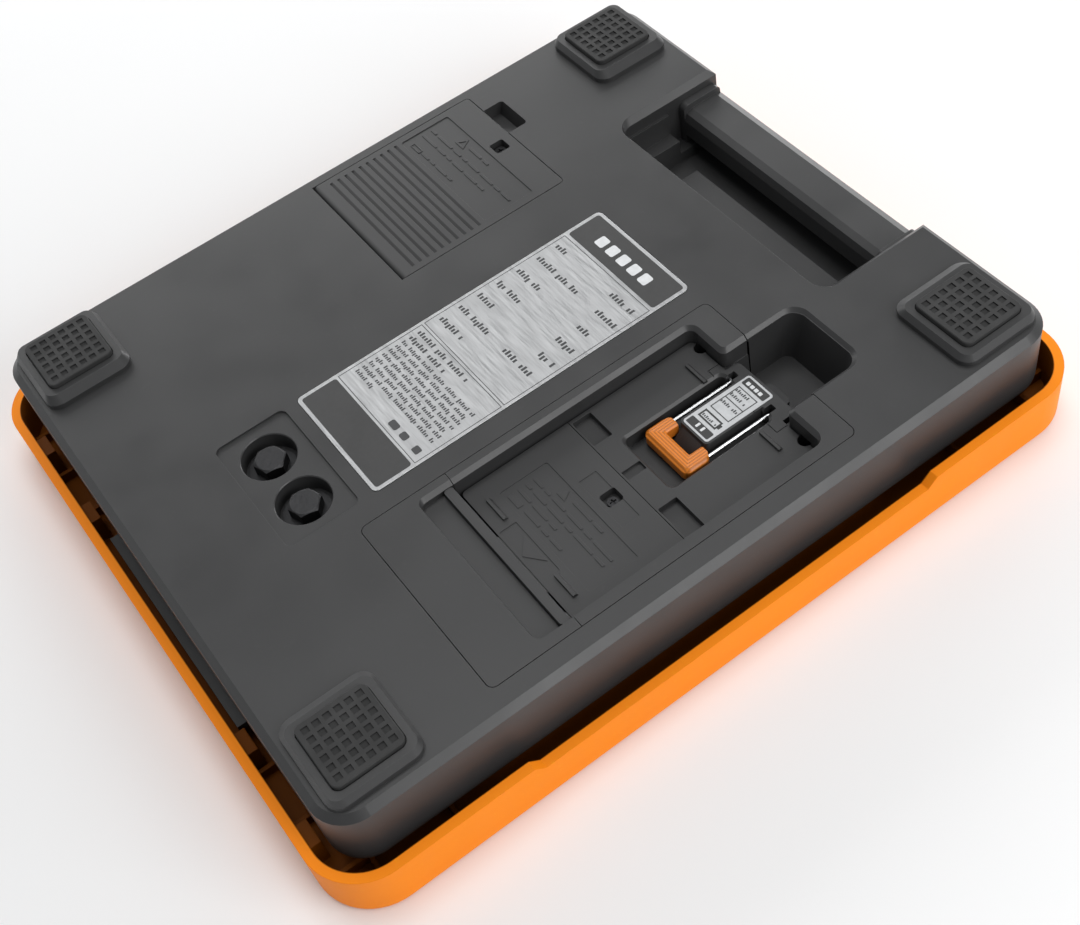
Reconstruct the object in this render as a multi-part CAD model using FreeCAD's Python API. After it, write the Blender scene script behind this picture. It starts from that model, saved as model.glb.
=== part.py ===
import FreeCAD, Part
import math
import os

# Flat charging scale lying face down: weighing platform on the floor, underside up.
# Millimetres. Origin on the floor under the middle of the platform.
# +X runs towards the grip end, +Y towards the base battery door, +Z up out of the underside.

os.makedirs("parts", exist_ok=True)

V = FreeCAD.Vector
Z_AXIS = V(0, 0, 1)

# ---- driving dimensions -------------------------------------------------
RIM_L, RIM_W, RIM_R = 320.0, 272.0, 22.0      # platform outline and corner radius
RIM_T = 3.7                                   # skirt thickness
RIM_H, RIM_LOW = 22.2, 18.5                   # skirt height, and height in the long-side cut-outs
CUT_HALF = 82.0                               # half length of those cut-outs
DECK_T = 3.0                                  # weighing deck thickness

BASE_L, BASE_W, BASE_R = 301.2, 254.2, 14.0   # base outline and corner radius
UND = 46.4                                    # height of the flat underside
CH_XY, CH_Z = 2.7, 2.4                        # chamfer round the underside
BASE_Z0 = 12.0                                # lowest part of the base
BILGE_R = 9.0                                 # rounding where the side wall turns in
WALL = 2.8                                    # shell thickness

FOOT_X, FOOT_Y = 128.4, 104.5                 # foot centres
FOOT_HX = 17.6                                # half length of a pedestal
FOOT_OUT, FOOT_IN = 17.7, 19.6                # pedestal reach outwards and inwards in Y
FOOT_TOP = 16.1                               # half size of the pedestal's top
FOOT_WALL, FOOT_RISE = 2.1, 4.5               # upright part and full rise
PAD_HALF, PAD_RISE = 13.25, 6.3                # pad half size and top above the underside
PAD_POCKET = 13.6                             # half size of the pocket round the pad
DIMPLE, DIMPLE_PITCH, DIMPLE_D = 2.5, 4.0, 0.65

BOLT_X, BOLT_Y = -93.2, 12.5                  # load cell bolts
CBORE_R, CBORE_Z = 10.3, 38.0                 # counterbore radius and floor
WASHER_TOP = 39.4
HEX_AF, HEX_FACE_R, HEX_TOP = 11.0, 5.1, 44.4

DOOR = (-10.8, 66.1, 51.3, 120.0)             # battery door outline: x0, x1, y0, y1
DOOR_T = 2.2
HINGE_R = 2.2                                 # rounding about the door's hinge line
DOOR_GAP = 0.35

DOCK = (-84.9, 66.1, -116.8, -37.1)           # outline of the dock's two pieces
DOCK_SPLIT = -49.6
DOCK_GAP = 0.3
BAY = (-57.4, 55.1, -112.3, -41.9)            # bay for the handheld display
BAY_FLOOR = 15.0
BAY_CH = 1.6
SCOOP = (50.0, 88.8, -93.6, -59.8)            # thumb scoop walls
SCOOP_FLOOR = (50.0, 84.0, -92.8, -60.9)
SCOOP_CH = 1.4
SCOOP_D = 22.0

SLOT = (100.2, 62.6)                          # hand recess: inner edge, half width
SLOT_SHELF_Z, SLOT_FLOOR_Z = 28.4, 17.0
SLOT_SHELF_X, SLOT_SHELF_Y, SLOT_PIT_Y = 118.7, 34.6, 53.0
GRIP_X0, GRIP_TOP, GRIP_BOT = 130.5, 38.0, 22.0

CTRL = (-48.2, 54.6, -111.7, -42.5)           # handheld display outline
CTRL_Z0, CTRL_SPLIT, CTRL_Z1 = 16.2, 23.0, 38.9
CTRL_R = 2.0
CTRL_SEAM = -1.9
NECK = (50.0, 60.6, -92.2, -61.4)             # tongue of the display that shows in the scoop
NECK_Z0 = 27.2
BAIL_Y, BAIL_Z, BAIL_X = -75.2, 36.0, 54.6    # hook centre line, wire height and pivot
BAIL_HALF, WIRE_R = 10.1, 0.8
HOOK = (8.2, 52.7, -88.9, -61.5)              # recess round the hook
HOOK_Z = 32.0
ISLAND = (28.2, 60.3, -82.9, -68.0)           # top of the raised island that carries the small label


# ---- helpers ------------------------------------------------------------
def rounded_wire(x0, x1, y0, y1, z, r):
    """Closed rounded-rectangle wire at height z."""
    r = max(min(r, (x1 - x0) / 2 - 0.01, (y1 - y0) / 2 - 0.01), 0.01)
    k = r * (1 - math.sqrt(0.5))
    e = [
        Part.makeLine(V(x0 + r, y0, z), V(x1 - r, y0, z)),
        Part.Arc(V(x1 - r, y0, z), V(x1 - k, y0 + k, z), V(x1, y0 + r, z)).toShape(),
        Part.makeLine(V(x1, y0 + r, z), V(x1, y1 - r, z)),
        Part.Arc(V(x1, y1 - r, z), V(x1 - k, y1 - k, z), V(x1 - r, y1, z)).toShape(),
        Part.makeLine(V(x1 - r, y1, z), V(x0 + r, y1, z)),
        Part.Arc(V(x0 + r, y1, z), V(x0 + k, y1 - k, z), V(x0, y1 - r, z)).toShape(),
        Part.makeLine(V(x0, y1 - r, z), V(x0, y0 + r, z)),
        Part.Arc(V(x0, y0 + r, z), V(x0 + k, y0 + k, z), V(x0 + r, y0, z)).toShape(),
    ]
    return Part.Wire(e)


def rbox(x0, x1, y0, y1, z0, z1, r=0.0):
    """Upright block with rounded vertical corners."""
    if r <= 0.02:
        return Part.makeBox(x1 - x0, y1 - y0, z1 - z0, V(x0, y0, z0))
    face = Part.Face(rounded_wire(x0, x1, y0, y1, z0, r))
    return face.extrude(V(0, 0, z1 - z0))


def taper(lo, z0, r0, hi, z1, r1):
    """Ruled block between two rounded rectangles (x0, x1, y0, y1)."""
    return Part.makeLoft([rounded_wire(*lo, z0, r0), rounded_wire(*hi, z1, r1)], True, True)


def grow(b, d):
    """Grow an outline (x0, x1, y0, y1) by d on every side."""
    return (b[0] - d, b[1] + d, b[2] - d, b[3] + d)


def cyl(x, y, z0, z1, r):
    """Upright cylinder."""
    return Part.makeCylinder(r, z1 - z0, V(x, y, z0))


def cyl_x(x0, x1, y, z, r):
    """Cylinder along X."""
    return Part.makeCylinder(r, x1 - x0, V(x0, y, z), V(1, 0, 0))


def cyl_y(y0, y1, x, z, r):
    """Cylinder along Y."""
    return Part.makeCylinder(r, y1 - y0, V(x, y0, z), V(0, 1, 0))


def prism(points, axis):
    """Solid from a closed polygon of 3-D points pushed along axis."""
    pts = [V(*p) for p in points]
    pts.append(pts[0])
    return Part.Face(Part.makePolygon(pts)).extrude(V(*axis))


def hexagon(x, y, z0, z1, af, turn=0.0):
    """Upright hexagonal prism, af across flats."""
    r = af / math.sqrt(3)
    pts = []
    for i in range(6):
        a = math.radians(60 * i + turn)
        pts.append((x + r * math.cos(a), y + r * math.sin(a), z0))
    return prism(pts, (0, 0, z1 - z0))


def fuse(items):
    """Union of a list of solids."""
    out = items[0]
    if len(items) > 1:
        out = items[0].multiFuse(items[1:])
    return out.removeSplitter()


def cut(body, tools):
    """Body less a list of solids."""
    return body.cut(fuse(tools)) if len(tools) == 1 else body.cut(Part.makeCompound(tools))


def dashes(x, y0, y1, z0, z1, key):
    """Row of short raised bars along Y, from y1 down to y0."""
    lengths = (8.4, 3.6, 10.2, 5.0, 2.8, 7.2)
    row = []
    y = y1
    while y - 1.6 > y0:
        reach = min(lengths[key % 6], y - y0)
        row.append(rbox(x - 0.55, x + 0.55, y - reach, y, z0, z1, 0.25))
        y -= reach + 1.5
        key += 1
    return row


def save(name, shape):
    """Write one node."""
    solids = shape.Solids
    out = solids[0] if len(solids) == 1 else Part.makeCompound(solids)
    out.exportStep("parts/" + name + ".step")
    print(name, len(solids), round(out.Volume), out.isValid())


def screw(x, y, z_head, length, r_head=2.6, r_shank=1.3, head=1.8, up=1):
    """Pan-head screw with a cross recess; up=1 puts the head on top."""
    s = cyl(x, y, z_head - head, z_head, r_head)
    s = s.fuse(cyl(x, y, z_head - head - length, z_head - head + 0.1, r_shank))
    slot_a = Part.makeBox(r_head * 1.1, 0.6, 0.9, V(x - r_head * 0.55, y - 0.3, z_head - 0.8))
    slot_b = Part.makeBox(0.6, r_head * 1.1, 0.9, V(x - 0.3, y - r_head * 0.55, z_head - 0.8))
    s = s.cut(slot_a).cut(slot_b)
    if up < 0:
        s.rotate(V(x, y, z_head), V(1, 0, 0), 180)
    return s


def cell(axis, x, y, z, length, r):
    """Dry cell along +X or +Y with its raised positive cap; (x, y, z) is the flat end."""
    if axis == "x":
        return cyl_x(x, x + length - 1.2, y, z, r).fuse(cyl_x(x + length - 1.3, x + length, y, z, r * 0.38))
    return cyl_y(y, y + length - 1.2, x, z, r).fuse(cyl_y(y + length - 1.3, y + length, x, z, r * 0.38))


# ---- platform ------------------------------------------------------------
half_l, half_w = RIM_L / 2, RIM_W / 2
outer = (-half_l, half_l, -half_w, half_w)
inner = grow(outer, -RIM_T)

tray = rbox(*outer, 0, RIM_H, RIM_R)
edge = [e for e in tray.Edges if abs(e.BoundBox.ZMax) < 1e-6]
tray = tray.makeFillet(2.0, edge)
tray = tray.cut(rbox(*inner, DECK_T, RIM_H + 1, RIM_R - RIM_T))
for side in (1, -1):
    # shallow cut-out in each long side of the skirt, with sloping ends
    yb = side * (half_w - RIM_T - 4)
    pts = [
        (-CUT_HALF - 4, yb, RIM_H),
        (-CUT_HALF, yb, RIM_LOW),
        (CUT_HALF, yb, RIM_LOW),
        (CUT_HALF + 4, yb, RIM_H),
        (CUT_HALF + 4, yb, RIM_H + 2),
        (-CUT_HALF - 4, yb, RIM_H + 2),
    ]
    tray = tray.cut(prism(pts, (0, side * 12, 0)))
ribs = []
for y in (-118, -94, -70, 70, 94, 118):
    ribs.append(rbox(-half_l + 1, half_l - 1, y - 0.8, y + 0.8, DECK_T - 0.5, 7.5))
for x in (-142, -112, 108, 142):
    ribs.append(rbox(x - 0.8, x + 0.8, -half_w + 1, half_w - 1, DECK_T - 0.5, 7.5))
SPIDER_FIX = [(x, y) for x in (-84, 84) for y in (-54, 54)]
for x, y in SPIDER_FIX:
    ribs.append(cyl(x, y, DECK_T - 0.5, 6.0, 5.0))
STOPS = [(x, y) for x in (-130, 130) for y in (-106, 106)]
for x, y in STOPS:
    ribs.append(cyl(x, y, DECK_T - 0.5, 7.5, 6.0))
for x in (-118, -52, 0, 52, 118):
    for side in (1, -1):
        # upright stiffening webs behind the long skirts
        y0 = half_w - RIM_T - 3.2
        near, far = sorted((side * y0, side * (half_w - 2)))
        ribs.append(rbox(x - 1, x + 1, near, far, 2, 12))
for y in (-104, -62, 62, 104):
    for side in (1, -1):
        # hooks that stiffen the short skirts
        x0 = half_l - RIM_T - 4.0
        near, far = sorted((side * x0, side * (half_l - 2)))
        ribs.append(rbox(near, far, y - 5, y + 5, 2, 15.5))
tray = fuse([tray] + ribs)
tray = cut(tray, [cyl(x, y, 1.2, 12, 1.6) for x, y in STOPS])
tray = cut(tray, [cyl(x, y, 1.5, 12, 1.3) for x, y in SPIDER_FIX])
save("platform_tray", tray)

# steel spider that spreads the load, bolted to the far end of the load cell
SP_Z0, SP_Z1 = 6.0, 8.4
spider = [
    rbox(-96, 96, -22, 22, SP_Z0, SP_Z1, 6),
    rbox(-92, -72, -64, 64, SP_Z0, SP_Z1, 6),
    rbox(72, 92, -64, 64, SP_Z0, SP_Z1, 6),
]
spider = fuse(spider + [rbox(38, 66, -20, 20, SP_Z0, 11.4, 3)])
PB_X = 52.0
spider = cut(spider, [cyl(PB_X, s * BOLT_Y, 0, 20, 4.2) for s in (1, -1)]
             + [cyl(x, y, 0, 20, 1.4) for x, y in SPIDER_FIX]
             + [rbox(-50, 24, -10, 10, 0, 20, 5)])
save("platform_spider", spider)
save("spider_screws", Part.makeCompound([screw(x, y, SP_Z1 + 1.8, 6.0) for x, y in SPIDER_FIX]))

bolts = []
for s in (1, -1):
    b = cyl(PB_X, s * BOLT_Y, 3.4, 5.95, 6.5).fuse(cyl(PB_X, s * BOLT_Y, 5.9, 21.0, 3.9))
    bolts.append(b.cut(hexagon(PB_X, s * BOLT_Y, 3.3, 5.0, 5.0)))
save("platform_bolts", Part.makeCompound(bolts))

stops = []
for x, y in STOPS:
    stops.append(cyl(x, y, 7.5, 10.8, 4.6).fuse(cyl(x, y, 2.0, 7.6, 1.5)))
save("overload_stops", Part.makeCompound(stops))

# ---- base housing ----------------------------------------------------------
hl, hw = BASE_L / 2, BASE_W / 2
rim = (-hl, hl, -hw, hw)
body = rbox(*rim, BASE_Z0, UND - CH_Z, BASE_R)
edge = [e for e in body.Edges if abs(e.BoundBox.ZMax - BASE_Z0) < 1e-6]
body = body.makeFillet(BILGE_R, edge)
top = taper(rim, UND - CH_Z, BASE_R, grow(rim, -CH_XY), UND, BASE_R - CH_XY)
body = body.fuse(top).removeSplitter()

cav = rbox(*grow(rim, -WALL), BASE_Z0 + WALL, UND - WALL, BASE_R - WALL)
edge = [e for e in cav.Edges if abs(e.BoundBox.ZMax - BASE_Z0 - WALL) < 1e-6]
cav = cav.makeFillet(BILGE_R - WALL + 0.2, edge)
mouth = rbox(*grow(rim, -12), BASE_Z0 - 1, BASE_Z0 + WALL + 1, 8)
shell = body.cut(cav).cut(mouth)

# solid surround of the hand recess, open to the end of the base
sx, sy = SLOT
surround = rbox(sx - WALL, hl, -sy - WALL, sy + WALL, BASE_Z0, UND, 5)
surround = surround.common(body)
# thumb scoop surround, bolt well, and pockets for the battery tray and board posts
scoop_wall = rbox(DOCK[1] + DOCK_GAP, SCOOP[1] + WALL, SCOOP[2] - WALL, SCOOP[3] + WALL,
                  UND - SCOOP_D - 2.4, UND - 0.5, 5)
well = rbox(-110, -76, -30, 30, 36.0, UND - 0.5, 4)
apron = rbox(-hl - 3.4, -hl + 4.0, -55.5, 45.5, BASE_Z0 + 0.6, BASE_Z0 + 3.4)
adds = [surround, scoop_wall, well, apron]

# pedestals
for fx in (1, -1):
    for fy in (1, -1):
        cx, cy = fx * FOOT_X, fy * FOOT_Y
        ya, yb = (cy - FOOT_IN, cy + FOOT_OUT) if fy > 0 else (cy - FOOT_OUT, cy + FOOT_IN)
        low = (cx - FOOT_HX, cx + FOOT_HX, ya, yb)
        high = (cx - FOOT_TOP, cx + FOOT_TOP, cy - FOOT_TOP, cy + FOOT_TOP)
        adds.append(rbox(*low, UND - 1, UND + FOOT_WALL, 5.5))
        adds.append(taper(low, UND + FOOT_WALL, 5.5, high, UND + FOOT_RISE, 3.6))

# screw posts for the base cover and board, hanging from the inside of the underside
COVER_FIX = [(-128, -104), (-128, 104), (-22, 110), (92, 108), (100, -108), (-128, 0), (-20, 36), (88, 36)]
for x, y in COVER_FIX:
    adds.append(cyl(x, y, BASE_Z0 + WALL + 0.1, UND - 1, 3.6))
BOARD = (-112, -30, 52, 112)
BOARD_FIX = [(-108, 56), (-34, 56), (-108, 108), (-34, 108)]
TRAY_FIX = [(10, 48.4), (44, 48.4), (10, 122.0), (44, 122.0)]
for x, y in BOARD_FIX:
    adds.append(cyl(x, y, 34.0, UND - 1, 2.6))
housing = fuse([shell] + adds)

cuts = []
# hand recess: drafted shelf, then a deep slot that reaches under the grip
cuts.append(rbox(sx, hl + 1, -sy + 2.5, sy - 2.5, UND - 7.9, UND + 1, 6))
cuts.append(rbox(hl - 12, hl + 5, -sy + 2.5, sy - 2.5, UND - 7.9, UND + 1))
recess_lo = (sx, hl + 8, -sy + 2.5, sy - 2.5)
cuts.append(taper(recess_lo, UND - 2.5, 6.0, (sx - 0.5, hl + 8, -sy, sy), UND + 0.02, 8.0))
cuts.append(rbox(sx, GRIP_X0 + 13, -sy + 3.5, sy - 3.5, SLOT_SHELF_Z, UND - 5, 6))
cuts.append(rbox(SLOT_SHELF_X, GRIP_X0 + 13, -SLOT_PIT_Y, SLOT_PIT_Y, SLOT_FLOOR_Z, SLOT_SHELF_Z + 1, 2))
cuts.append(rbox(sx + 0.4, SLOT_SHELF_X + 6, SLOT_SHELF_Y, SLOT_PIT_Y, SLOT_FLOOR_Z, SLOT_SHELF_Z + 1, 2))
# seat for the grip
cuts.append(rbox(GRIP_X0 - 6, hl + 1, -sy + 2.5, sy - 2.5, GRIP_BOT - 0.1, UND - 5))
# thumb scoop
scoop = taper(SCOOP_FLOOR, UND - SCOOP_D, 3.5, SCOOP, UND + 0.02, 6.0)
scoop_lip = taper(SCOOP, UND - SCOOP_CH, 6.0, grow(SCOOP, SCOOP_CH), UND + 0.02, 7.0)
keep = rbox(DOCK[1] + DOCK_GAP - 0.05, SCOOP[1] + 3, SCOOP[2] - 4, SCOOP[3] + 4, 0, UND + 1)
cuts.append(scoop.common(keep))
cuts.append(scoop_lip.common(keep))
# dock outline
cuts.append(rbox(*grow(DOCK, DOCK_GAP), BASE_Z0 - 1, UND + 1, 3.0))
# battery opening, finger notch, and room behind the hinge
cuts.append(rbox(*grow(DOOR, DOOR_GAP), UND - WALL - 2, UND + 1, 2.2))
cuts.append(rbox(DOOR[0] - DOOR_GAP, DOOR[0] + 6, DOOR[2] - DOOR_GAP, DOOR[3] + DOOR_GAP,
                 UND - WALL - 2, UND + 1))
cuts.append(rbox(66.0, 75.7, 89.9, 108.5, UND - 6.0, UND + 1, 1.6).cut(
    prism([(73.9, 80, UND - 6.0), (75.8, 80, UND - 6.0), (75.8, 80, UND)], (0, 40, 0))))
# recessed panel and counterbores
cuts.append(rbox(-107.7, -78.3, -27.6, 27.6, UND - 1.0, UND + 1, 3.0))
for s in (1, -1):
    cuts.append(cyl(BOLT_X, s * BOLT_Y, CBORE_Z, UND + 1, CBORE_R))
    cuts.append(Part.makeCone(CBORE_R, CBORE_R + 0.35, 0.35, V(BOLT_X, s * BOLT_Y, UND - 1.34)))
    cuts.append(cyl(BOLT_X, s * BOLT_Y, 30, CBORE_Z + 1, 4.3))
# label seat
cuts.append(rbox(-73.0, 66.5, -28.0, 28.0, UND - 0.3, UND + 1, 2.6))
# pad pockets
for fx in (1, -1):
    for fy in (1, -1):
        cx, cy = fx * FOOT_X, fy * FOOT_Y
        cuts.append(rbox(cx - PAD_POCKET, cx + PAD_POCKET, cy - PAD_POCKET, cy + PAD_POCKET,
                         UND + 2.6, UND + 9, 3.2))
# grip pin sockets and the seats of the door's hinge stubs
cuts.append(cyl_y(-sy - 2.1, sy + 2.1, GRIP_X0 + 10, GRIP_BOT + 8, 2.4))
cuts.append(cyl_y(49.9, 121.4, DOOR[0] + HINGE_R, UND - DOOR_T, 1.04))
# pilot holes
cuts += [cyl(x, y, BASE_Z0, BASE_Z0 + 16, 1.35) for x, y in COVER_FIX]
cuts += [cyl(x, y, 33, 41, 1.1) for x, y in BOARD_FIX]
cuts += [cyl(x, y, 43.0, 45.2, 0.95) for x, y in TRAY_FIX]
housing = housing.cut(Part.makeCompound(cuts))

# finger notch floor and walls
notch = rbox(66.1 + DOOR_GAP + 0.2, 77.7, 88.0, 110.5, UND - 7.8, UND - 0.5, 2.0)
notch = notch.cut(rbox(60.0, 75.7, 89.9, 108.5, UND - 6.0, UND + 1, 1.6).cut(
    prism([(73.9, 80, UND - 6.0), (75.8, 80, UND - 6.0), (75.8, 80, UND)], (0, 40, 0))))
housing = housing.fuse(notch).removeSplitter()
save("base_housing", housing)

# ---- grip bar ---------------------------------------------------------------
gx0, gx1 = GRIP_X0, hl
gw = sy - 2.55
section = [
    (gx0 + 4.0, -gw, GRIP_TOP),
    (gx1 - 3.5, -gw, GRIP_TOP),
    (gx1, -gw, GRIP_TOP - 2.0),
    (gx1, -gw, GRIP_BOT + 7.0),
    (gx1 - 2.2, -gw, GRIP_BOT + 2.4),
    (gx1 - 6.5, -gw, GRIP_BOT),
    (gx0 + 3.0, -gw, GRIP_BOT),
    (gx0, -gw, GRIP_BOT + 4.0),
    (gx0, -gw, GRIP_TOP - 4.5),
    (gx0 + 1.2, -gw, GRIP_TOP - 1.3),
]
grip = prism(section, (0, 2 * gw, 0))
# raised collar at each end, rounded over its inner top corner
collars = []
for y0 in (gw - 3.5, -gw):
    c = rbox(gx0, gx1 - 1.0, y0, y0 + 3.5, GRIP_BOT, GRIP_TOP + 2.7)
    crest = [e for e in c.Edges if abs(e.BoundBox.ZMin - GRIP_TOP - 2.7) < 1e-6]
    edge = [e for e in crest if abs(e.BoundBox.XMax - gx0) < 1e-6]
    c = c.makeFillet(3.0, edge)
    crest = [e for e in c.Edges if abs(e.BoundBox.ZMin - GRIP_TOP - 2.7) < 1e-6]
    edge = [e for e in crest if abs(e.BoundBox.XMin - gx1 + 1.0) < 1e-6]
    collars.append(c.makeFillet(2.0, edge))
grip = fuse([grip] + collars)
pin_x, pin_z = gx0 + 10, GRIP_BOT + 8
grip = cut(grip, [cyl_y(-gw - 1, -gw + 10, pin_x, pin_z, 2.4), cyl_y(gw - 10, gw + 1, pin_x, pin_z, 2.4)])
save("handle_grip", grip)
pins = [cyl_y(-sy - 2.0, -gw + 9.8, pin_x, pin_z, 2.35), cyl_y(gw - 9.8, sy + 2.0, pin_x, pin_z, 2.35)]
save("grip_pins", Part.makeCompound(pins))

# ---- foot pads --------------------------------------------------------------
pads = []
for fx in (1, -1):
    for fy in (1, -1):
        cx, cy = fx * FOOT_X, fy * FOOT_Y
        b = (cx - PAD_HALF, cx + PAD_HALF, cy - PAD_HALF, cy + PAD_HALF)
        p = rbox(*b, UND + 2.6, UND + PAD_RISE - 0.3, 2.8)
        p = p.fuse(taper(b, UND + PAD_RISE - 0.3, 2.8, grow(b, -0.3), UND + PAD_RISE, 2.5)).removeSplitter()
        holes = []
        for i in range(6):
            for j in range(6):
                x = cx + (i - 2.5) * DIMPLE_PITCH
                y = cy + (j - 2.5) * DIMPLE_PITCH
                holes.append(rbox(x - DIMPLE / 2, x + DIMPLE / 2, y - DIMPLE / 2, y + DIMPLE / 2,
                                  UND + PAD_RISE - DIMPLE_D, UND + PAD_RISE + 1))
        pads.append(p.cut(Part.makeCompound(holes)))
save("foot_pads", Part.makeCompound(pads))

# ---- load cell and its hardware ---------------------------------------------
hexes = []
for s in (1, -1):
    h = hexagon(BOLT_X, s * BOLT_Y, WASHER_TOP + 0.05, HEX_TOP, HEX_AF, -12)
    high = HEX_TOP - WASHER_TOP - 0.05
    cone = Part.makeCone(HEX_FACE_R + high * 1.9, HEX_FACE_R, high, V(BOLT_X, s * BOLT_Y, WASHER_TOP + 0.05))
    hexes.append(h.common(cone).fuse(cyl(BOLT_X, s * BOLT_Y, 16.0, WASHER_TOP + 0.1, 3.95)))
save("cell_bolts", Part.makeCompound(hexes))
washers = []
for s in (1, -1):
    disc = cyl(BOLT_X, s * BOLT_Y, CBORE_Z + 0.02, WASHER_TOP, 9.0)
    washers.append(disc.cut(cyl(BOLT_X, s * BOLT_Y, 30, 50, 4.2)))
save("cell_washers", Part.makeCompound(washers))

CELL = (-108.0, 66.0, -20.0, 20.0)
CELL_Z0, CELL_Z1 = 12.6, 33.5
lc = rbox(*CELL, CELL_Z0, CELL_Z1, 1.5)
tools = [
    rbox(-36, -6, -30, 30, CELL_Z0 + 5.5, CELL_Z1 - 5.5),
    cyl_y(-30, 30, -36, 23.05, 6.6),
    cyl_y(-30, 30, -6, 23.05, 6.6),
    rbox(CELL[0] + 34, CELL[1] + 1, -30, 30, CELL_Z1 - 1.6, CELL_Z1 + 1),
    rbox(CELL[0] - 1, CELL[1] - 32, -30, 30, CELL_Z0 - 1, CELL_Z0 + 1.6),
]
for s in (1, -1):
    tools.append(cyl(BOLT_X, s * BOLT_Y, 10, 40, 4.0))
    tools.append(cyl(PB_X, s * BOLT_Y, 10, 40, 4.4))
lc = cut(lc, tools)
save("load_cell", lc)

plate = rbox(-109, -77, -21, 21, CELL_Z1 + 0.05, 35.95, 2)
plate = cut(plate, [cyl(BOLT_X, s * BOLT_Y, 30, 40, 4.0) for s in (1, -1)])
save("cell_plate", plate)

# ---- base cover ---------------------------------------------------------------
cover = rbox(*grow(rim, -12.3), BASE_Z0 + 0.2, BASE_Z0 + WALL - 0.1, 7.7)
wins = [
    rbox(-66, 70, -24, 24, 0, 30, 4),
    rbox(sx - WALL - 0.3, hl, -sy - WALL - 0.3, sy + WALL + 0.3, 0, 30),
    rbox(*grow(DOCK, 1.2), 0, 30, 3),
    rbox(CELL[0] - 2, -60, -24, 24, 0, 30, 4),
]
wins += [cyl(x, y, 0, 30, 1.6) for x, y in COVER_FIX]
cover = cut(cover, wins)
save("base_cover", cover)
posts = []
for x, y in COVER_FIX:
    shank = cyl(x, y, BASE_Z0 + WALL - 0.2, BASE_Z0 + WALL + 9, 1.25)
    posts.append(cyl(x, y, BASE_Z0 + 0.3, BASE_Z0 + WALL - 0.1, 1.5).fuse(shank))
save("cover_screws", Part.makeCompound(posts))

# ---- battery tray, cells and contacts -----------------------------------------
TRAY = (-7.6, 54.4, 53.2, 118.2)
TRAY_Z0 = 26.6
AA_R, AA_L, AA_PITCH = 7.15, 50.3, 14.9
AA_X = [-6.1 + AA_PITCH * (i + 0.5) for i in range(4)]
AA_Z = TRAY_Z0 + 1.6 + AA_R + 0.25
tray2 = fuse([
    rbox(*TRAY, TRAY_Z0, 43.2, 3.0),
    rbox(54.0, 65.2, 53.2, 118.2, 41.0, 43.2, 1.5),
    rbox(54.2, 55.8, 53.2, 118.2, TRAY_Z0, 43.2),
    rbox(52.8, 66.0, 76.0, 96.0, 34.0, 43.2, 1.0),
    rbox(4.0, 50.0, 46.0, 54.0, 41.2, 43.5, 1.0),
    rbox(4.0, 50.0, 117.5, 124.0, 41.2, 43.5, 1.0),
])
tray2_cuts = [rbox(-6.1, 53.5, 54.9, 116.5, TRAY_Z0 + 1.6, 44, 1.5)]
tray2_cuts.append(cyl(59.0, 85.9, 33.0, 44.0, 1.9))
tray2_cuts.append(cyl(59.0, 85.9, 40.8, 45.0, 5.8))
tray2_cuts += [cyl(x, y, 40.0, 44.0, 1.1) for x, y in TRAY_FIX]
battery_tray = cut(tray2, tray2_cuts)
webs = [rbox(x - 0.5, x + 0.5, 54.0, 117.4, TRAY_Z0 + 1.0, TRAY_Z0 + 5.0) for x in
        [-6.1 + AA_PITCH * i for i in (1, 2, 3)]]
battery_tray = fuse([battery_tray] + webs)
save("battery_tray", battery_tray)
tray_set = [screw(x, y, 39.6, 3.4, r_head=2.0, r_shank=0.9, head=1.4, up=-1) for x, y in TRAY_FIX]
save("tray_screws", Part.makeCompound(tray_set))

cells = []
for i, x in enumerate(AA_X):
    y0 = 61.6 if i % 2 == 0 else 60.0
    c = cell("y", x, y0, AA_Z, AA_L, AA_R)
    if i % 2:
        c.rotate(V(x, y0 + AA_L / 2, AA_Z), Z_AXIS, 180)
    cells.append(c)
save("aa_cells", Part.makeCompound(cells))


def coil(x, y, z, axis, length, radius, wire, turns):
    """Helical spring starting at (x, y, z) and running along axis."""
    steps = 4 * turns
    climb = length / turns / (2 * math.pi)

    def at(a):
        return V(radius * math.cos(a), radius * math.sin(a), climb * a)

    def along(a):
        return V(-radius * math.sin(a), radius * math.cos(a), climb)

    edges = []
    for i in range(steps):
        a0, a1 = i * math.pi / 2, (i + 1) * math.pi / 2
        curve = Part.BSplineCurve()
        curve.interpolate(Points=[at(a0 + (a1 - a0) * k / 4) for k in range(5)],
                          InitialTangent=along(a0), FinalTangent=along(a1))
        edges.append(curve.toShape())
    ring = Part.Wire(Part.makeCircle(wire, V(radius, 0, 0), along(0)))
    s = Part.Wire(edges).makePipeShell([ring], True, True)
    s = s if s.ShapeType == "Solid" else s.Solids[0]
    if axis == "x":
        s.rotate(V(0, 0, 0), V(0, 1, 0), 90)
    elif axis == "y":
        s.rotate(V(0, 0, 0), V(1, 0, 0), -90)
    elif axis == "-y":
        s.rotate(V(0, 0, 0), V(1, 0, 0), 90)
    s.translate(V(x, y, z))
    return s


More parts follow.
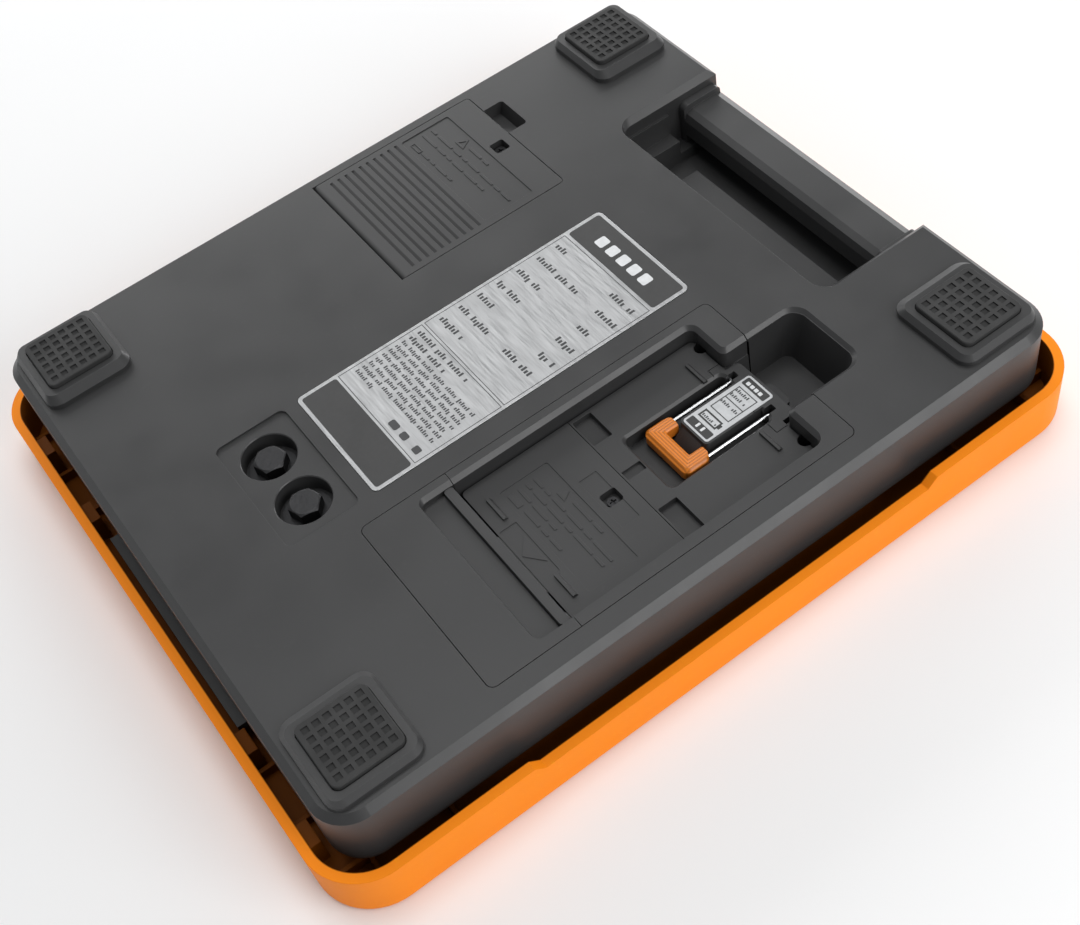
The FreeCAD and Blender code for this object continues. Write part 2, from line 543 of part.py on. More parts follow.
springs, tabs = [], []
for i, x in enumerate(AA_X):
    if i % 2 == 0:
        springs.append(coil(x, 55.6, AA_Z, "y", 5.7, 3.0, 0.35, 4))
        tabs.append(rbox(x - 4, x + 4, 115.9, 116.4, AA_Z - 5, AA_Z + 5))
        tabs.append(rbox(x - 4, x + 4, 54.95, 55.2, AA_Z - 5, AA_Z + 5))
    else:
        springs.append(coil(x, 115.8, AA_Z, "-y", 5.1, 3.0, 0.35, 4))
        tabs.append(rbox(x - 4, x + 4, 116.15, 116.4, AA_Z - 5, AA_Z + 5))
        tabs.append(rbox(x - 4, x + 4, 54.95, 55.4, AA_Z - 5, AA_Z + 5))
save("tray_springs", Part.makeCompound(springs))
save("tray_tabs", Part.makeCompound(tabs))

# ---- base battery door -----------------------------------------------------------
d0, d1, d2, d3 = DOOR
hinge_x, hinge_z = d0 + HINGE_R, UND - DOOR_T
door = rbox(hinge_x, d1, d2, d3, hinge_z, UND, 0)
corner = [e for e in door.Edges if abs(e.BoundBox.ZMax - e.BoundBox.ZMin - DOOR_T) < 1e-6
          and abs(e.BoundBox.XMin - d1) < 1e-6]
door = door.makeFillet(1.6, corner)
door = door.fuse(cyl_y(d2, d3, hinge_x, hinge_z, HINGE_R).common(
    rbox(d0 - 1, hinge_x + 0.5, d2, d3, hinge_z, UND + 1)))
door = door.fuse(cyl_y(d2, d3, hinge_x, hinge_z, 1.0))
door = door.fuse(cyl_y(d2 - 1.1, d3 + 1.1, hinge_x, hinge_z, 0.98))
door = door.fuse(cyl(59.0, 85.9, UND - 5.2, UND - 1, 5.0))
door = door.fuse(rbox(4, 50, d2 + 8, d2 + 9.4, hinge_z - 0.8, hinge_z + 0.5))
door = door.fuse(rbox(4, 50, d3 - 9.4, d3 - 8, hinge_z - 0.8, hinge_z + 0.5)).removeSplitter()
door_cuts = []
for i in range(10):
    x = -4.4 + 3.48 * i
    # saw-tooth grip groove: steep on the hinge side
    door_cuts.append(prism([(x, 54.2, UND + 0.5), (x, 54.2, UND - 0.75), (x + 1.35, 54.2, UND),
                            (x + 1.35, 54.2, UND + 0.5)], (0, 63.0, 0)))
door_cuts.append(rbox(30.4, 53.6, 55.0, 116.8, UND - 0.35, UND + 1, 1.2))
door_cuts.append(rbox(55.8, 62.2, 82.6, 89.1, UND - 3.9, UND + 1, 1.0))
door_cuts.append(cyl(59.0, 85.9, UND - 8, UND, 1.25))
door = cut(door, door_cuts)
icons = []
# plain triangle, cell outline and rows of dashes, raised in the recessed panel
tri = prism([(47.2, 95.5, UND - 0.4), (47.2, 101.2, UND - 0.4), (52.0, 98.35, UND - 0.4)], (0, 0, 0.32))
tri_in = prism([(47.9, 96.6, UND - 0.9), (47.9, 100.1, UND - 0.9), (50.9, 98.35, UND - 0.9)], (0, 0, 2))
icons.append(tri.cut(tri_in))
bat = rbox(32.4, 34.6, 106.5, 113.0, UND - 0.4, UND - 0.08, 0.4)
bat = bat.cut(rbox(32.8, 34.2, 107.0, 112.5, UND - 1, UND + 1))
icons.append(bat)
rows = [(49.5, 79.0, 94.0), (44.2, 57.5, 114.5), (39.8, 68.5, 114.5), (33.5, 83.5, 105.5)]
for k, (x, y0, y1) in enumerate(rows):
    icons += dashes(x, y0, y1, UND - 0.4, UND - 0.08, k)
door = fuse([door] + icons)
save("battery_door", door)
save("door_screw", screw(59.0, 85.9, UND - 2.3, 5.4, r_head=2.5, r_shank=1.2, head=1.55))

# ---- rating label -------------------------------------------------------------------
save("rating_label", rbox(-72.7, 66.2, -27.7, 27.7, UND - 0.25, UND + 0.12, 2.3))


# ---- dock --------------------------------------------------------------------------
def outline(points, z):
    """Closed wire through (x, y, radius) corners, each rounded by its radius."""
    n = len(points)
    legs = []
    for i in range(n):
        px, py, _ = points[i - 1]
        x, y, r = points[i]
        qx, qy, _ = points[(i + 1) % n]
        a = V(px - x, py - y, 0).normalize()
        b = V(qx - x, qy - y, 0).normalize()
        half = a.getAngle(b) / 2
        t = r / math.tan(half)
        mid = (a + b).normalize()
        centre = V(x, y, z) + mid * (r / math.sin(half))
        start = V(x, y, z) + a * t
        end = V(x, y, z) + b * t
        legs.append((start, centre - mid * r, end))
    edges = []
    for i in range(n):
        start, mid, end = legs[i]
        edges.append(Part.Arc(start, mid, end).toShape())
        edges.append(Part.makeLine(end, legs[(i + 1) % n][0]))
    return Part.Wire(edges)


def bay_outline(z, d, near):
    """Bay and scoop mouth as one outline, grown by d (and by near at the near side)."""
    x0, x1, y0, y1 = BAY
    s0, s1 = SCOOP[2], SCOOP[3]
    end = DOCK[1] + 6
    return outline([
        (x0, y0 - near, 0.6),
        (x1 + d, y0 - near, 3.0 + d),
        (x1 + d, s0 - d, 2.6 - d * 0.5),
        (end, s0 - d, 0.5),
        (end, s1 + d, 0.5),
        (x1 + d, s1 + d, 2.6 - d * 0.5),
        (x1 + d, y1 + d, 3.0 + d),
        (x0, y1 + d, 0.6),
    ], z)


frame = rbox(DOCK_SPLIT + 0.12, DOCK[1], DOCK[2], DOCK[3], UND - 2.4, UND, 0)
corner = [e for e in frame.Edges if abs(e.BoundBox.ZMax - e.BoundBox.ZMin - 2.4) < 1e-6
          and abs(e.BoundBox.XMin - DOCK[1]) < 1e-6]
frame = frame.makeFillet(2.6, corner)
tub = rbox(BAY[0] - 2, BAY[1] + 2, BAY[2] - 2, BAY[3] + 2, BAY_FLOOR - 2, UND - 6, 3.5)
tub_high = rbox(DOCK_SPLIT + 0.12, BAY[1] + 3.6, BAY[2] - 2, BAY[3] + 3.2, UND - 8, UND - 0.5, 3.5)
side = rbox(BAY[1] - 1, DOCK[1], SCOOP[2] - 2.2, SCOOP[3] + 2.2, UND - SCOOP_D - 2.4, UND - 0.5, 0)
insert = fuse([frame, tub, tub_high, side])
bay_deep = Part.Face(bay_outline(UND - 9, 0, 0)).extrude(V(0, 0, 12))
lip_wires = [bay_outline(UND - BAY_CH, 0, 0), bay_outline(UND + 0.02, BAY_CH, 0.02)]
bay_lip = Part.makeLoft(lip_wires, True, True)
bay_box = rbox(*BAY, BAY_FLOOR, UND, 3.0)
scoop_in = taper(SCOOP_FLOOR, UND - SCOOP_D, 3.5, SCOOP, UND + 0.02, 6.0)
scoop_in = scoop_in.common(rbox(50, DOCK[1] + 3, -120, -30, 0, UND + 1))
insert = cut(insert, [bay_deep, bay_lip, bay_box, scoop_in])
# the latch springs reach through the left wall
for y in (-95.0, -60.0):
    insert = insert.cut(cyl_x(-60.0, -57.0, y, 35.0, 3.4))
# round wells beside the two end corners
for y in (-47.4, -103.6):
    insert = insert.cut(cyl(BAY[1] - 0.4, y, BAY_FLOOR + 6, UND - 6.9, 2.6))
save("dock_insert", insert.removeSplitter())

# end piece with the finger trough
TROUGH = (-63.5, -54.2, -112.3, -41.9)
end = rbox(DOCK[0], DOCK_SPLIT - 0.12, DOCK[2], DOCK[3], UND - 2.4, UND, 0)
corner = [e for e in end.Edges if abs(e.BoundBox.ZMax - e.BoundBox.ZMin - 2.4) < 1e-6
          and abs(e.BoundBox.XMin - DOCK[0]) < 1e-6]
end = end.makeFillet(2.6, corner)
deep = rbox(TROUGH[0] - 2, TROUGH[1], TROUGH[2] - 2.2, TROUGH[3] + 2.8, UND - 5.8, UND - 0.5, 2.0)
cheeks = [rbox(-57.4, DOCK_SPLIT - 0.12, -41.9, -39.9, UND - 5.8, UND - 0.5),
          rbox(-57.4, DOCK_SPLIT - 0.12, -114.3, -112.3, UND - 5.8, UND - 0.5)]
end = fuse([end, deep] + cheeks)
trough_cut = rbox(TROUGH[0], DOCK_SPLIT + 5, TROUGH[2], TROUGH[3], UND - 3.8, UND + 1, 2.6)
lip_lo = (TROUGH[0], DOCK_SPLIT + 5, TROUGH[2], TROUGH[3])
lip_hi = (TROUGH[0] - 0.5, DOCK_SPLIT + 5, TROUGH[2] - 0.1, TROUGH[3] + BAY_CH)
trough_lip = taper(lip_lo, UND - BAY_CH, 2.6, lip_hi, UND + 0.02, 3.4)
beyond = rbox(TROUGH[1], DOCK_SPLIT + 5, TROUGH[2], TROUGH[3], UND - 12, UND, 0)
end = cut(end, [trough_cut, trough_lip, beyond])
save("dock_end_cover", end.removeSplitter())

# sprung bar between the trough and the bay
BAR = (-54.1, -50.5, -111.8, -42.4)
bar = rbox(*BAR, UND - 3.4, UND - 1.2, 1.2)
bar = bar.fuse(rbox(-52.6, -50.9, -106.0, -48.0, 30.0, UND - 2.0, 0.5))
nubs = [(-111.8, -108.4, 0.75), (-108.4, -98.3, 0.25), (-98.3, -69.9, 0.75), (-69.9, -59.6, 0.25)]
for y0, y1, reach in nubs:
    # bevelled lip facing the display
    lip = [(-51.2, y0, UND - 3.4), (-50.5 + reach, y0, UND - 3.4), (-50.5 + reach, y0, UND - 2.2),
           (-50.6, y0, UND - 1.2), (-51.2, y0, UND - 1.2)]
    bar = bar.fuse(prism(lip, (0, y1 - y0, 0)))
save("dock_latch_bar", bar.removeSplitter())
pair = [coil(-64.6, y, 35.0, "x", 9.2, 2.4, 0.3, 6) for y in (-95.0, -60.0)]
save("latch_springs", Part.makeCompound(pair))
save("latch_spring_seat", fuse([
    rbox(-69.0, -65.7, -99.0, -56.0, 31.0, UND - 2.45, 0.5),
    cyl_x(-65.8, -60.0, -95.0, 35.0, 1.4),
    cyl_x(-65.8, -60.0, -60.0, 35.0, 1.4),
]))

# ---- handheld display ----------------------------------------------------------------
c0, c1, c2, c3 = CTRL
full = rbox(*CTRL, CTRL_Z0, CTRL_Z1, CTRL_R)
neck = rbox(*NECK, NECK_Z0, CTRL_Z1, 2.0)
lug = rbox(58.0, 65.4, -84.5, -73.0, NECK_Z0, CTRL_Z1 - 5.0, 2.0)
blank = fuse([full, neck, lug])
lower = rbox(-80, 90, -130, -30, CTRL_Z0 - 1, CTRL_SPLIT, 0)
upper = rbox(-80, 90, -130, -30, CTRL_SPLIT + 0.1, CTRL_Z1 + 1, 0)
CW = 1.8

# front housing, facing the bay floor
front = blank.common(lower)
edge = [e for e in front.Edges if abs(e.BoundBox.ZMax - CTRL_Z0) < 1e-6]
front = front.makeFillet(1.6, edge)
front = front.cut(rbox(c0 + CW, c1 - CW, c2 + CW, c3 - CW, CTRL_Z0 + CW, CTRL_SPLIT + 1, CTRL_R - CW))
LCD = (-34.0, 12.0, -98.0, -56.0)
front = front.cut(rbox(*LCD, CTRL_Z0 - 1, CTRL_Z0 + 3, 2.0))
front = front.cut(taper(grow(LCD, 2.4), CTRL_Z0 - 0.01, 3.0, grow(LCD, 1.8), CTRL_Z0 + 0.9, 2.5))
KEYS = [("key_power", 22.5, -65.0), ("key_zero", 22.5, -89.0),
        ("key_unit", 39.5, -65.0), ("key_hold", 39.5, -89.0)]
KEY_R = 6.2
for name, x, y in KEYS:
    front = front.cut(cyl(x, y, CTRL_Z0 - 1, CTRL_Z0 + 3, KEY_R + 0.35))
save("ctrl_front", front)
save("ctrl_lens", rbox(*grow(LCD, 1.7), CTRL_Z0 + 0.05, CTRL_Z0 + 0.85, 2.3))
save("ctrl_display", rbox(*grow(LCD, -0.4), CTRL_Z0 + 1.0, CTRL_Z0 + 4.6, 0.5))
board = rbox(c0 + 3, c1 - 3, c2 + 3, c3 - 3, CTRL_Z0 + 4.8, CTRL_Z0 + 6.2, 1.0)
save("ctrl_board", board)
switches = []
for name, x, y in KEYS:
    k = cyl(x, y, CTRL_Z0 - 0.1, CTRL_Z0 + 2.2, KEY_R)
    edge = [e for e in k.Edges if abs(e.BoundBox.ZMax - CTRL_Z0 + 0.1) < 1e-6]
    k = k.makeFillet(0.6, edge)
    k = k.fuse(cyl(x, y, CTRL_Z0 + 2.1, CTRL_Z0 + 2.5, KEY_R + 1.2))
    k = k.fuse(cyl(x, y, CTRL_Z0 + 2.4, CTRL_Z0 + 2.8, 1.6))
    save(name, k)
    switches.append(rbox(x - 3, x + 3, y - 3, y + 3, CTRL_Z0 + 3.95, CTRL_Z0 + 4.75, 0.3))
save("ctrl_switches", Part.makeCompound(switches))

# back housing: open battery bay at the left, hook recess and island at the right
back = blank.common(upper)
bat_bay = (c0 - 1, CTRL_SEAM + 0.25, c2 - 1, c3 + 1)
back = back.cut(rbox(*bat_bay, CTRL_Z1 - 2.3, CTRL_Z1 + 1))
AAA_R, AAA_L, AAA_Z = 5.2, 44.4, 29.6
AAA_Y = [-50.2, -61.6, -92.6, -104.0]
CELL_FLOOR = AAA_Z - AAA_R - 0.3
back = back.cut(rbox(c0 + CW, CTRL_SEAM - 1.0, c2 + CW, c3 - CW, CELL_FLOOR, CTRL_Z1, 2.0))
back = back.cut(rbox(c0 + CW, 3.9, c2 + CW, c3 - CW, CELL_FLOOR, AAA_Z + AAA_R + 0.2, 2.0))
back = back.cut(rbox(6.0, c1 - CW, c2 + CW, c3 - CW, CTRL_SPLIT, HOOK_Z - 1.8, 3.0))
for y0, y1 in [(-110.0, -92.0), (-58.2, -44.3)]:
    back = back.cut(rbox(8.6, c1 - CW, y0, y1, CTRL_SPLIT, CTRL_Z1 - 2.0, 1.5))
post = cyl(-9.6, -79.0, CELL_FLOOR - 0.5, CTRL_Z1 - 5.4, 4.2)
post = post.cut(cyl(-9.6, -79.0, CELL_FLOOR + 1.0, 40, 1.5))
dividers = [rbox(c0 + 1, 4.5, y, y + 1.0, CELL_FLOOR - 0.5, AAA_Z) for y in (-56.4, -98.8)]
back = fuse([back, post] + dividers)
# clip recesses beside the seam
for y0, y1, d in [(-57.2, -44.0, 2.6), (-76.8, -72.6, 1.4), (-108.7, -93.0, 2.6)]:
    back = back.cut(rbox(CTRL_SEAM + 0.9, 7.0, y0, y1, CTRL_Z1 - d, CTRL_Z1 + 1, 0.5))
hook_cut = rbox(*HOOK, HOOK_Z, CTRL_Z1 + 1, 2.4)
hook_lip = taper(HOOK, CTRL_Z1 - 1.0, 2.4, grow(HOOK, 1.0), CTRL_Z1 + 0.02, 3.0)
slots = []
for y in (BAIL_Y + BAIL_HALF, BAIL_Y - BAIL_HALF):
    slots.append(rbox(50.0, 56.6, y - 1.4, y + 1.4, HOOK_Z + 1.5, CTRL_Z1 + 1, 0.4))
back = cut(back, [hook_cut, hook_lip] + slots)
isl_foot = (ISLAND[0] - 0.8, NECK[1], ISLAND[2] - 0.5, ISLAND[3] + 0.5)
isl = taper(isl_foot, HOOK_Z - 0.5, 2.0, ISLAND, CTRL_Z1, 1.8)
nose = [(22.6, -80.6, HOOK_Z - 0.5), (28.6, -80.6, CTRL_Z1 - 1.2), (30.0, -80.6, HOOK_Z - 0.5)]
ramp = prism(nose, (0, 10.8, 0))
back = fuse([back, isl, ramp])
back = cut(back, [cyl_y(BAIL_Y - BAIL_HALF - 3.3, BAIL_Y - BAIL_HALF, BAIL_X, BAIL_Z, WIRE_R + 0.05),
                  cyl_y(BAIL_Y + BAIL_HALF, BAIL_Y + BAIL_HALF + 3.3, BAIL_X, BAIL_Z, WIRE_R + 0.05),
                  rbox(*grow(ISLAND, -0.7), CTRL_Z1 - 0.25, CTRL_Z1 + 1, 1.3)])
for y in (-47.4, -103.6):
    back = back.cut(cyl(BAY[1] - 0.4, y, CTRL_Z1 - 5.0, CTRL_Z1 + 1, 2.6))
# hairline round the plate that holds the bail's ends
back = back.cut(rbox(49.6, 50.0, -95.0, -57.4, CTRL_Z1 - 0.35, CTRL_Z1 + 1, 0))
for y in (-95.0, -57.8):
    back = back.cut(rbox(49.6, 56.0, y, y + 0.4, CTRL_Z1 - 0.35, CTRL_Z1 + 1, 0))
rib_pads = []
for y0, y1 in ((-61.3, -50.7), (-101.5, -91.2)):
    wedge = [(44.9, y0, CTRL_Z1 - 0.1), (44.9, y0, CTRL_Z1 + 1.1), (46.0, y0, CTRL_Z1 + 1.1),
             (46.9, y0, CTRL_Z1 - 0.1)]
    rib_pads.append(prism(wedge, (0, y1 - y0, 0)))
back = fuse([back] + rib_pads)
save("ctrl_back", back)
save("ctrl_label", rbox(*grow(ISLAND, -0.8), CTRL_Z1 - 0.2, CTRL_Z1 + 0.1, 1.2))

# its battery door: a plate with an arrow frame, text frame and screw pocket
cd = rbox(c0, CTRL_SEAM, c2, c3, CTRL_Z1 - 2.0, CTRL_Z1, 0)
corner = [e for e in cd.Edges if abs(e.BoundBox.ZMax - e.BoundBox.ZMin - 2.0) < 1e-6
          and abs(e.BoundBox.XMin - c0) < 1e-6]
cd = cd.makeFillet(CTRL_R, corner)
cd = cd.fuse(cyl(-9.2, -78.6, CTRL_Z1 - 5.0, CTRL_Z1 - 1, 4.6))
cd_cuts = [
    rbox(-38.0, -17.6, -104.0, -51.5, CTRL_Z1 - 0.3, CTRL_Z1 + 1, 1.0),
    rbox(-47.4, -40.4, -91.0, -65.0, CTRL_Z1 - 0.3, CTRL_Z1 + 1, 0.6),
    rbox(-14.5, -7.0, -91.0, -66.0, CTRL_Z1 - 0.25, CTRL_Z1 + 1, 0.5),
    rbox(-13.0, -6.4, -81.7, -75.4, CTRL_Z1 - 3.6, CTRL_Z1 + 1, 1.2),
    cyl(-9.6, -79.0, CTRL_Z1 - 8, CTRL_Z1, 1.15),
]
cd = cut(cd, cd_cuts)
raised = []
triangles = [[(-46.8, -78.0), (-41.4, -85.0), (-41.4, -71.0)],
             [(-22.8, -69.2), (-22.8, -64.6), (-19.0, -66.9)]]
for tri_points in triangles:
    raised.append(prism([(x, y, CTRL_Z1 - 0.35) for x, y in tri_points], (0, 0, 0.3)))
rows = [(-20.6, -88.0, -71.5), (-25.0, -101.5, -54.5), (-28.4, -99.0, -54.5), (-31.8, -78.0, -54.5),
        (-35.4, -84.5, -63.5)]
for k, (x, y0, y1) in enumerate(rows):
    raised += dashes(x, y0, y1, CTRL_Z1 - 0.35, CTRL_Z1 - 0.05, k + 2)
raised.append(rbox(-36.6, -34.2, -61.0, -54.5, CTRL_Z1 - 0.35, CTRL_Z1 - 0.05, 0.4))
for y0, y1 in [(-62.2, -51.4), (-102.4, -91.6)]:
    wedge = [(-43.4, y0, CTRL_Z1 - 0.1), (-43.4, y0, CTRL_Z1 + 1.1), (-42.2, y0, CTRL_Z1 + 1.1),
             (-41.2, y0, CTRL_Z1 - 0.1)]
    raised.append(prism(wedge, (0, y1 - y0, 0)))
cd = fuse([cd] + raised)
save("ctrl_battery_door", cd)
save("ctrl_door_screw", screw(-9.6, -79.0, CTRL_Z1 - 2.2, 4.2, r_head=2.2, r_shank=1.1, head=1.35))

aaa, ctrl_springs, ctrl_tabs = [], [], []
for i, y in enumerate(AAA_Y):
    x0 = -42.2 if i % 2 == 0 else -45.4
    c = cell("x", x0, y, AAA_Z, AAA_L, AAA_R)
    if i % 2:
        c.rotate(V(x0 + AAA_L / 2, y, AAA_Z), Z_AXIS, 180)
    aaa.append(c)
    if i % 2 == 0:
        ctrl_springs.append(coil(-45.8, y, AAA_Z, "x", 3.3, 2.4, 0.3, 2))
        ctrl_tabs.append(rbox(-46.35, -46.1, y - 3.5, y + 3.5, AAA_Z - 3.5, AAA_Z + 3.5))
        ctrl_tabs.append(rbox(2.5, 3.8, y - 3.5, y + 3.5, AAA_Z - 3.5, AAA_Z + 3.5))
    else:
        ctrl_springs.append(coil(-0.3, y, AAA_Z, "x", 3.3, 2.4, 0.3, 2))
        ctrl_tabs.append(rbox(-46.35, -45.7, y - 3.5, y + 3.5, AAA_Z - 3.5, AAA_Z + 3.5))
        ctrl_tabs.append(rbox(3.55, 3.8, y - 3.5, y + 3.5, AAA_Z - 3.5, AAA_Z + 3.5))
save("aaa_cells", Part.makeCompound(aaa))
save("ctrl_springs", Part.makeCompound(ctrl_springs))
save("ctrl_tabs", Part.makeCompound(ctrl_tabs))

# ---- hanging hook -----------------------------------------------------------------------
GX0, GX1, GX2 = 15.6, 21.8, 27.1
leg_a, leg_b = BAIL_Y + BAIL_HALF, BAIL_Y - BAIL_HALF
wx = GX0 + 3.2
wr = 2.4


def leg_path():
    """Centre line of the bent wire, stub to stub."""
    x1, z = BAIL_X, BAIL_Z
    k = wr * (1 - math.sqrt(0.5))
    q = 1.2
    kq = q * (1 - math.sqrt(0.5))
    pts = []
    pts.append(Part.makeLine(V(x1, leg_a + 2.9, z), V(x1, leg_a + q, z)))
    pts.append(Part.Arc(V(x1, leg_a + q, z), V(x1 - kq, leg_a + kq, z), V(x1 - q, leg_a, z)).toShape())
    pts.append(Part.makeLine(V(x1 - q, leg_a, z), V(wx + wr, leg_a, z)))
    pts.append(Part.Arc(V(wx + wr, leg_a, z), V(wx + k, leg_a - k, z), V(wx, leg_a - wr, z)).toShape())
    pts.append(Part.makeLine(V(wx, leg_a - wr, z), V(wx, leg_b + wr, z)))
    pts.append(Part.Arc(V(wx, leg_b + wr, z), V(wx + k, leg_b + k, z), V(wx + wr, leg_b, z)).toShape())
    pts.append(Part.makeLine(V(wx + wr, leg_b, z), V(x1 - q, leg_b, z)))
    pts.append(Part.Arc(V(x1 - q, leg_b, z), V(x1 - kq, leg_b - kq, z), V(x1, leg_b - q, z)).toShape())
    pts.append(Part.makeLine(V(x1, leg_b - q, z), V(x1, leg_b - 2.9, z)))
    return Part.Wire(pts)


def swept(path, x, y, z, direction, radius):
    """Round wire of the given radius along a path that starts at (x, y, z)."""
    ring = Part.Wire(Part.makeCircle(radius, V(x, y, z), direction))
    s = path.makePipeShell([ring], True, True)
    return s if s.ShapeType == "Solid" else s.Solids[0]


wire = swept(leg_path(), BAIL_X, leg_a + 2.9, BAIL_Z, V(0, -1, 0), WIRE_R)
save("bail_wire", wire)
g_lo, g_hi = BAIL_Z - 2.4, BAIL_Z + 2.6
gy0, gy1 = BAIL_Y - 12.4, BAIL_Y + 12.4
g_mid = g_hi - 1.5
grip2 = rbox(GX0, GX2, gy0, gy1, g_lo, g_mid, 3.0)
grip2 = grip2.fuse(taper((GX0, GX2, gy0, gy1), g_mid, 3.0, (GX0 + 1.4, GX2, gy0 + 1.4, gy1 - 1.4), g_hi, 1.6))
grip2 = grip2.cut(rbox(GX1, GX2 + 2, gy0 + 6.1, gy1 - 6.1, g_lo - 1, g_hi + 1, 0.5))
notch2 = (GX1, GX2 + 2, gy0 + 6.1, gy1 - 6.1)
grip2 = grip2.cut(taper(notch2, g_hi - 0.9, 0.5, grow(notch2, 0.9), g_hi + 0.01, 1.2))
grip2 = grip2.cut(swept(leg_path(), BAIL_X, leg_a + 2.9, BAIL_Z, V(0, -1, 0), WIRE_R + 0.005))
save("bail_grip", grip2.removeSplitter())

# ---- electronics in the base ----------------------------------------------------------------
bx0, bx1, by0, by1 = BOARD
pcb = rbox(bx0, bx1, by0, by1, 32.3, 33.9, 2.0)
pcb = cut(pcb, [cyl(x, y, 30, 36, 1.35) for x, y in BOARD_FIX])
parts_on = [
    rbox(-92, -80, 74, 86, 30.6, 32.4, 0.3),
    rbox(-64, -55, 62, 68, 31.0, 32.4, 0.3),
    rbox(-100, -92, 94, 100, 29.0, 32.4, 0.5),
    rbox(-60, -48, 88, 96, 30.9, 32.4, 0.3),
    rbox(-72, -62, 53, 58, 27.6, 32.4, 0.5),
]
save("main_board", fuse([pcb] + parts_on))
radio = rbox(-54, -34, 70, 84, 30.9, 32.25, 0.5).fuse(rbox(-52, -40, 71.5, 82.5, 28.8, 31.0, 0.6))
save("radio_module", radio)
board_set = [screw(x, y, 30.5, 6.0, r_head=2.2, r_shank=1.0, head=1.6, up=-1) for x, y in BOARD_FIX]
save("board_screws", Part.makeCompound(board_set))

# strain gauge cable from the load cell to the plug on the board
CR = 1.6
cz = 26.0
bend = 6.0
kb = bend * (1 - math.sqrt(0.5))
cable_x = -67.0
legs = [
    Part.makeLine(V(-45.0, 20.05, cz), V(-45.0, 24.0, cz)),
    Part.Arc(V(-45.0, 24.0, cz), V(-45.0 - kb, 30.0 - kb, cz), V(-51.0, 30.0, cz)).toShape(),
    Part.makeLine(V(-51.0, 30.0, cz), V(cable_x + bend, 30.0, cz)),
    Part.Arc(V(cable_x + bend, 30.0, cz), V(cable_x + kb, 30.0 + kb, cz), V(cable_x, 36.0, cz)).toShape(),
    Part.makeLine(V(cable_x, 36.0, cz), V(cable_x, 52.0, cz)),
]
path = Part.Wire(legs)
ring = Part.Wire(Part.makeCircle(CR, V(-45.0, 20.05, cz), V(0, 1, 0)))
cable = path.makePipeShell([ring], True, True)
cable = cable if cable.ShapeType == "Solid" else cable.Solids[0]
plug = rbox(cable_x - 4.2, cable_x + 4.2, 48.5, 52.9, cz - 2.5, 31.0, 0.5)
save("load_cell_cable", fuse([cable, plug]))
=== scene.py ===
import math

import bmesh
import bpy
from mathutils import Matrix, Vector


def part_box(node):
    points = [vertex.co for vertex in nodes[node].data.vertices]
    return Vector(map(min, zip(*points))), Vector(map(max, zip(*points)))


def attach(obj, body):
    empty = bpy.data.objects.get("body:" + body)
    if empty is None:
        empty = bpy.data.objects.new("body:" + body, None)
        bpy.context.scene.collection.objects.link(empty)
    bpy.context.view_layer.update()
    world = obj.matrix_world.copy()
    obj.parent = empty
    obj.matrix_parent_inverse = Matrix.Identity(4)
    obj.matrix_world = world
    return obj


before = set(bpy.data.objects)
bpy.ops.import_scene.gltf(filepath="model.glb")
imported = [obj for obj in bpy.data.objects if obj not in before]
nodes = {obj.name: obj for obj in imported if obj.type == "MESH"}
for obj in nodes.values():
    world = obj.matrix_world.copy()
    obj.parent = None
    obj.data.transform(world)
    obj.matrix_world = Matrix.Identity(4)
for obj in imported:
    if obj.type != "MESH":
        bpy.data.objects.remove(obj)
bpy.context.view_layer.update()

scene = bpy.context.scene
MM = 0.001

# base colours, linear
DARK = (0.033, 0.033, 0.0335)
ORANGE = (1.0, 0.27, 0.01)

# sizes that the materials follow, in m
FLUTE_PITCH = 0.0011            # flutes of the hook's grip
TRAY_CORNER = 0.022             # corner radius of the platform
SKIRT_THICK = 0.0037            # thickness of the platform's skirt
SKIRT_BLEND = 0.0004            # width of the change of colour at its inner face, where the painted shade starts
AA_BAND_Y = 0.1                 # where the copper band of the AA cells starts
AAA_BAND_X = -0.012             # and of the AAA cells
BAND_BLUR = 0.0002
PAINTED_SKIRT_SHADE = 0.2              # brightness of the orange under the painted shade behind the skirt

# printed plates, in mm: how far the ink reaches into and out of the surface under it
INK_SUNK, INK_PROUD = 0.01, 0.03


def placed(name, data):
    o = bpy.data.objects.new(name, data)
    scene.collection.objects.link(o)
    return o


